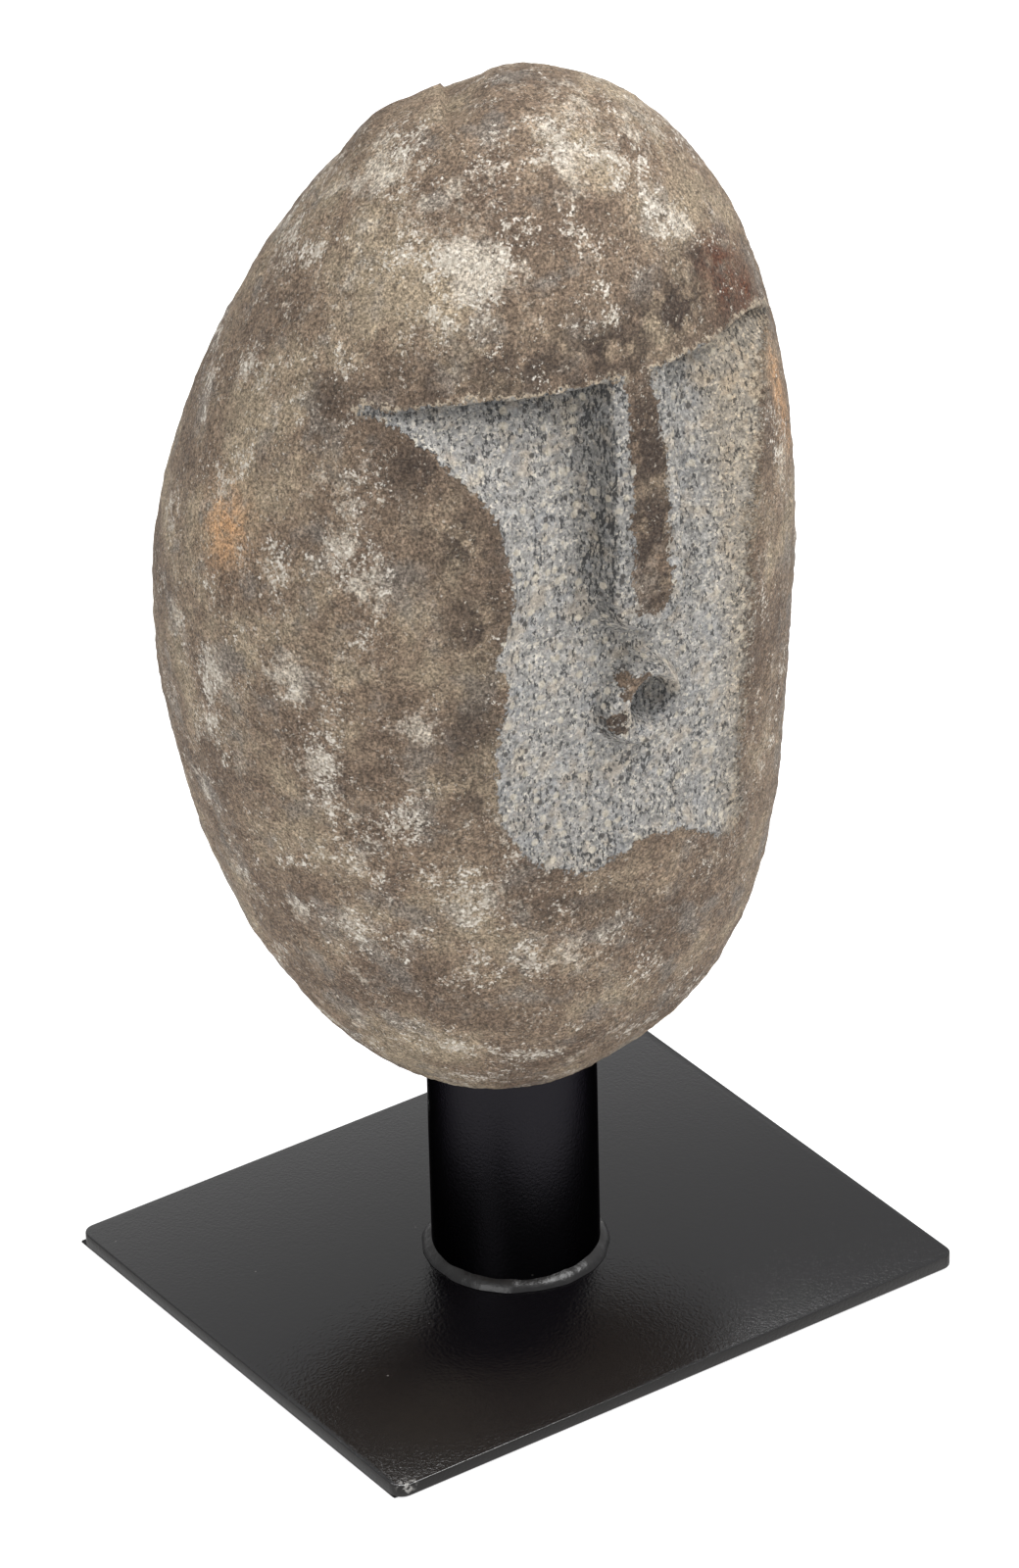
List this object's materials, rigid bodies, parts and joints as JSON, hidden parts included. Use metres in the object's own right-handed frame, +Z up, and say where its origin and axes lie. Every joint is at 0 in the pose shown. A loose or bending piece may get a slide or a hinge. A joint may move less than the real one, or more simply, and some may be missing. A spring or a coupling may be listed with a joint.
{
  "type": "stone head sculpture",
  "caption": "Upright river boulder carved with a brow ledge, a long nose and a small round mouth, on a short round steel post welded to a flat rectangular steel plate.",
  "frame": {"origin": "centre of the underside of the stand, on the surface it stands on", "axes": "+Z up, the face looks along -Y, +X to the right of someone facing it"},
  "size_m": [0.3048, 0.28, 0.59],
  "materials": {
    "granite": "weathered brown river crust, with the carved face in fresh pecked grey granite",
    "black_steel": "satin black coating",
    "rubber": "matt black rubber sheet"
  },
  "bodies": {
    "root": {"stone_head": "granite", "post": "black_steel", "weld_bead": "black_steel", "base_plate": "black_steel", "rubber_pad": "rubber"}
  },
  "joints": []
}
